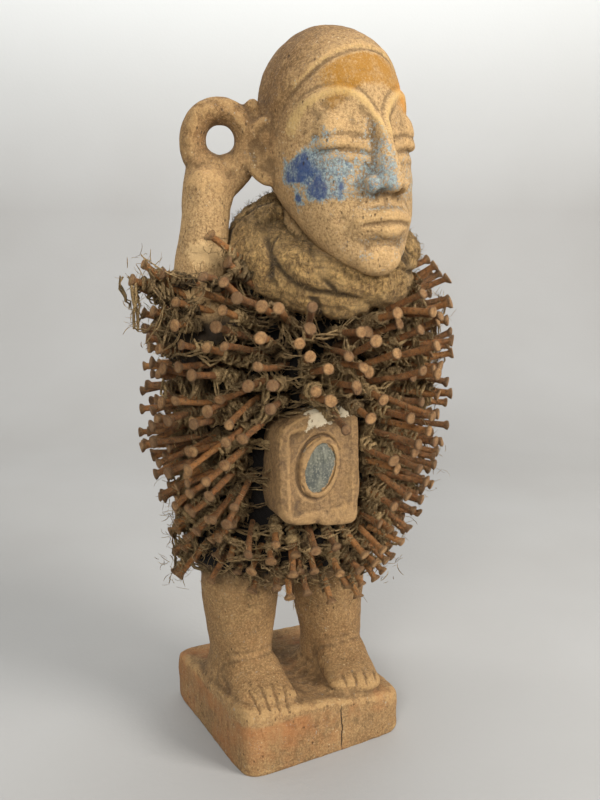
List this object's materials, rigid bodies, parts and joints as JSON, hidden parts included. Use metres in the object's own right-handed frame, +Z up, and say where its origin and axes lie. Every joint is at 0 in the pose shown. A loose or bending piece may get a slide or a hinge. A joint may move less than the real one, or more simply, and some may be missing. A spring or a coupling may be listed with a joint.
{
  "type": "nail fetish figure",
  "caption": "Carved standing figure with a raised pierced fist, a twisted cloth collar, a body stuck full of nails and bound with string, and a belly box with a dark glass window.",
  "frame": {"origin": "middle of the base's flat underside", "axes": "+Z up through the figure, -Y the way the head looks, +X to the figure's left"},
  "size_m": [0.2003, 0.1827, 0.413],
  "materials": {
    "carved_wood": "dusty matte, with worn paint on the face",
    "ring_cloth": "coarse twisted cloth",
    "tied_string": "dry raffia string",
    "box_wood": "worn, chipped",
    "window_glass": "dark, dusty",
    "nail_iron": "rusty"
  },
  "bodies": {
    "root": {"belly_box": "box_wood", "belly_glass": "window_glass", "carved_figure": "carved_wood", "nail_01": "nail_iron", "nail_02": "nail_iron", "nail_03": "nail_iron", "nail_04": "nail_iron", "nail_05": "nail_iron", "nail_06": "nail_iron", "nail_07": "nail_iron", "nail_08": "nail_iron", "nail_09": "nail_iron", "nail_10": "nail_iron", "nail_11": "nail_iron", "nail_12": "nail_iron", "nail_13": "nail_iron", "nail_14": "nail_iron", "nail_15": "nail_iron", "nail_16": "nail_iron", "nail_17": "nail_iron", "nail_18": "nail_iron", "nail_19": "nail_iron", "nail_20": "nail_iron", "nail_21": "nail_iron", "nail_22": "nail_iron", "nail_23": "nail_iron", "nail_24": "nail_iron", "nail_25": "nail_iron", "nail_26": "nail_iron", "nail_27": "nail_iron", "nail_28": "nail_iron", "nail_29": "nail_iron", "nail_30": "nail_iron", "nail_31": "nail_iron", "nail_32": "nail_iron", "nail_33": "nail_iron", "nail_34": "nail_iron", "nail_35": "nail_iron", "nail_36": "nail_iron", "nail_37": "nail_iron", "nail_38": "nail_iron", "nail_39": "nail_iron", "nail_40": "nail_iron", "nail_41": "nail_iron", "nail_42": "nail_iron", "nail_43": "nail_iron", "nail_44": "nail_iron", "neck_cloth_ring": "ring_cloth", "string_tangle": "tied_string"}
  },
  "joints": []
}
